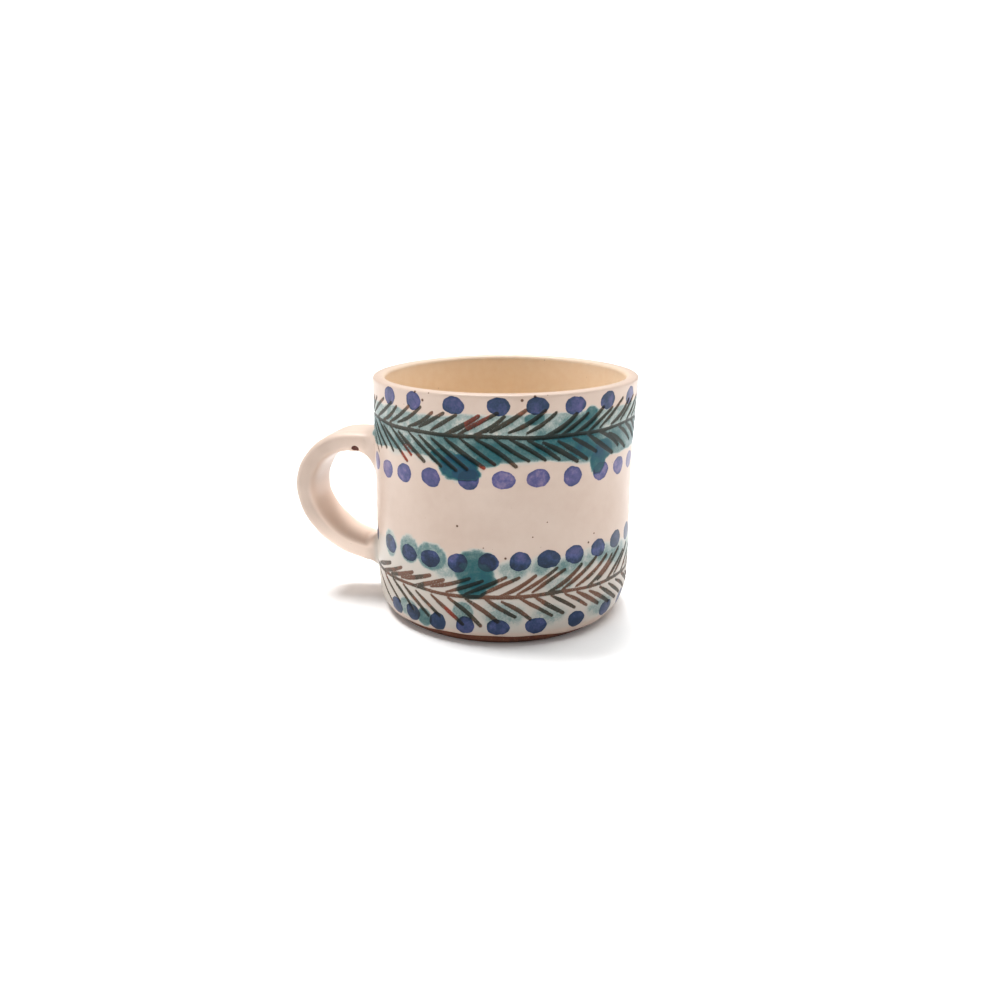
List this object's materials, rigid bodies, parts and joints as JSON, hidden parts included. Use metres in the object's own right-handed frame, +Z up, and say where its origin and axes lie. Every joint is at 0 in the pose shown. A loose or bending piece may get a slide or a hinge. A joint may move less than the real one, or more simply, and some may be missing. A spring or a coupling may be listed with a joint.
{
  "type": "mug",
  "caption": "Round upright drinking mug with a flat bare foot and a pulled strap handle, for holding a hot or cold drink and lifting it by the handle.",
  "frame": {"origin": "centre of the flat bottom face, on the mug's axis", "axes": "+Z up along the mug's axis towards the lip; the handle stands out along -X"},
  "size_m": [0.1184, 0.089, 0.081],
  "materials": {
    "red_clay": "bare fired red clay, matt, showing only at the foot",
    "red_clay_handle": "fired red clay under the slip",
    "luting_clay_upper": "fired red clay under the slip",
    "luting_clay_lower": "fired red clay under the slip",
    "decorated_slip": "white slip with scratched branches, cobalt dots and copper green washes under a clear gloss glaze",
    "lining_slip": "warm cream slip under a clear gloss glaze",
    "handle_slip": "white slip under a clear gloss glaze"
  },
  "bodies": {
    "root": {"clay_body": "red_clay", "handle_strap": "red_clay_handle", "upper_luting_coil": "luting_clay_upper", "lower_luting_coil": "luting_clay_lower", "outer_slip": "decorated_slip", "lining_slip": "lining_slip", "handle_slip": "handle_slip"}
  },
  "joints": []
}
